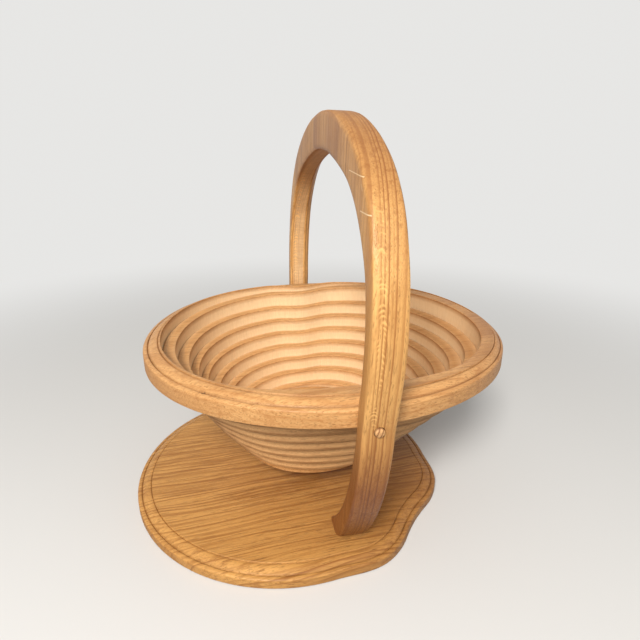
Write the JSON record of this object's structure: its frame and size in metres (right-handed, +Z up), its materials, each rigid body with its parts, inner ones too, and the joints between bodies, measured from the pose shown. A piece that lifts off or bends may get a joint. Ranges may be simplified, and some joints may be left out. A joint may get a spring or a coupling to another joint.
{
  "type": "collapsible wooden basket",
  "caption": "Collapsible wooden basket: a board sawn along a spiral opens into a bowl, hung on pegs in a folding arched handle over a round base board.",
  "frame": {"origin": "under the middle of the bowl, on the swivel axis, at the base board's underside", "axes": "+Z up; Y along the two pegs, +Y towards the dip in the rim's outline; the saw cut starts on the +X side"},
  "size_m": [0.328, 0.3308, 0.3256],
  "materials": {
    "base_wood": "oiled, satin",
    "rim_wood": "oiled, satin",
    "spiral_wood": "oiled, satin",
    "handle_wood": "oiled, satin",
    "peg_wood": "oiled, satin"
  },
  "bodies": {
    "base": {"base_plate": "base_wood", "centre_dowel": "peg_wood"},
    "rim": {"rim_board": "rim_wood", "near_peg": "peg_wood", "far_peg": "peg_wood"},
    "handle": {"handle": "handle_wood"},
    "half_turn_01": {"spiral_01": "spiral_wood"},
    "half_turn_02": {"spiral_02": "spiral_wood"},
    "half_turn_03": {"spiral_03": "spiral_wood"},
    "half_turn_04": {"spiral_04": "spiral_wood"},
    "half_turn_05": {"spiral_05": "spiral_wood"},
    "half_turn_06": {"spiral_06": "spiral_wood"},
    "half_turn_07": {"spiral_07": "spiral_wood"},
    "half_turn_08": {"spiral_08": "spiral_wood"},
    "half_turn_09": {"spiral_09": "spiral_wood"},
    "half_turn_10": {"spiral_10": "spiral_wood"},
    "half_turn_11": {"spiral_11": "spiral_wood"},
    "half_turn_12": {"spiral_12": "spiral_wood"},
    "half_turn_13": {"spiral_13": "spiral_wood"},
    "half_turn_14": {"spiral_14": "spiral_wood"},
    "half_turn_15": {"spiral_15": "spiral_wood"},
    "disc": {"bottom_disc": "spiral_wood"}
  },
  "joints": [
    {"name": "basket_swivel", "type": "hinge", "parent": "base", "child": "rim", "pos_m": [0, 0, 0.012], "axis": [0, 0, 1], "continuous": true},
    {"name": "handle_fold", "type": "hinge", "parent": "rim", "child": "handle", "pos_m": [0.0125, 0, 0.1378], "axis": [0, -1, 0], "range_deg": [0, 92]},
    {"name": "spiral_fold", "type": "hinge", "parent": "rim", "child": "half_turn_01", "pos_m": [0.15067, 0, 0.141], "axis": [0, 1, 0], "range_deg": [0, 2.3]},
    {"name": "spiral_fold_02", "type": "hinge", "parent": "half_turn_01", "child": "half_turn_02", "pos_m": [-0.12275, 0, 0.13], "axis": [0, 1, 0], "range_deg": [-3.63, 0]},
    {"name": "spiral_fold_03", "type": "hinge", "parent": "half_turn_02", "child": "half_turn_03", "pos_m": [0.13916, 0, 0.124], "axis": [0, 1, 0], "range_deg": [0, 2.69]},
    {"name": "spiral_fold_04", "type": "hinge", "parent": "half_turn_03", "child": "half_turn_04", "pos_m": [-0.11221, 0, 0.118], "axis": [0, 1, 0], "range_deg": [-2.81, 0]},
    {"name": "spiral_fold_05", "type": "hinge", "parent": "half_turn_04", "child": "half_turn_05", "pos_m": [0.1275, 0, 0.112], "axis": [0, 1, 0], "range_deg": [0, 2.93]},
    {"name": "spiral_fold_06", "type": "hinge", "parent": "half_turn_05", "child": "half_turn_06", "pos_m": [-0.10333, 0, 0.106], "axis": [0, 1, 0], "range_deg": [-3.07, 0]},
    {"name": "spiral_fold_07", "type": "hinge", "parent": "half_turn_06", "child": "half_turn_07", "pos_m": [0.11584, 0, 0.1], "axis": [0, 1, 0], "range_deg": [0, 3.2]},
    {"name": "spiral_fold_08", "type": "hinge", "parent": "half_turn_07", "child": "half_turn_08", "pos_m": [-0.09611, 0, 0.094], "axis": [0, 1, 0], "range_deg": [-3.35, 0]},
    {"name": "spiral_fold_09", "type": "hinge", "parent": "half_turn_08", "child": "half_turn_09", "pos_m": [0.10418, 0, 0.088], "axis": [0, 1, 0], "range_deg": [0, 3.51]},
    {"name": "spiral_fold_10", "type": "hinge", "parent": "half_turn_09", "child": "half_turn_10", "pos_m": [-0.0882, 0, 0.082], "axis": [0, 1, 0], "range_deg": [-3.7, 0]},
    {"name": "spiral_fold_11", "type": "hinge", "parent": "half_turn_10", "child": "half_turn_11", "pos_m": [0.09251, 0, 0.076], "axis": [0, 1, 0], "range_deg": [0, 3.91]},
    {"name": "spiral_fold_12", "type": "hinge", "parent": "half_turn_11", "child": "half_turn_12", "pos_m": [-0.07935, 0, 0.07], "axis": [0, 1, 0], "range_deg": [-4.15, 0]},
    {"name": "spiral_fold_13", "type": "hinge", "parent": "half_turn_12", "child": "half_turn_13", "pos_m": [0.08084, 0, 0.064], "axis": [0, 1, 0], "range_deg": [0, 4.43]},
    {"name": "spiral_fold_14", "type": "hinge", "parent": "half_turn_13", "child": "half_turn_14", "pos_m": [-0.07047, 0, 0.058], "axis": [0, 1, 0], "range_deg": [-4.74, 0]},
    {"name": "spiral_fold_15", "type": "hinge", "parent": "half_turn_14", "child": "half_turn_15", "pos_m": [0.06918, 0, 0.052], "axis": [0, 1, 0], "range_deg": [0, 5.1]},
    {"name": "spiral_fold_16", "type": "hinge", "parent": "half_turn_15", "child": "disc", "pos_m": [-0.06158, 0, 0.046], "axis": [0, 1, 0], "range_deg": [-2.64, 0]}
  ],
  "couplings": [
    {"joint": "spiral_fold_02", "follows": "spiral_fold", "ratio": -1.5696},
    {"joint": "spiral_fold_03", "follows": "spiral_fold", "ratio": 1.1631},
    {"joint": "spiral_fold_04", "follows": "spiral_fold", "ratio": -1.2159},
    {"joint": "spiral_fold_05", "follows": "spiral_fold", "ratio": 1.2687},
    {"joint": "spiral_fold_06", "follows": "spiral_fold", "ratio": -1.327},
    {"joint": "spiral_fold_07", "follows": "spiral_fold", "ratio": 1.3845},
    {"joint": "spiral_fold_08", "follows": "spiral_fold", "ratio": -1.4486},
    {"joint": "spiral_fold_09", "follows": "spiral_fold", "ratio": 1.5202},
    {"joint": "spiral_fold_10", "follows": "spiral_fold", "ratio": -1.6008},
    {"joint": "spiral_fold_11", "follows": "spiral_fold", "ratio": 1.6933},
    {"joint": "spiral_fold_12", "follows": "spiral_fold", "ratio": -1.7989},
    {"joint": "spiral_fold_13", "follows": "spiral_fold", "ratio": 1.9167},
    {"joint": "spiral_fold_14", "follows": "spiral_fold", "ratio": -2.0535},
    {"joint": "spiral_fold_15", "follows": "spiral_fold", "ratio": 2.2083},
    {"joint": "spiral_fold_16", "follows": "spiral_fold", "ratio": -1.1404}
  ]
}
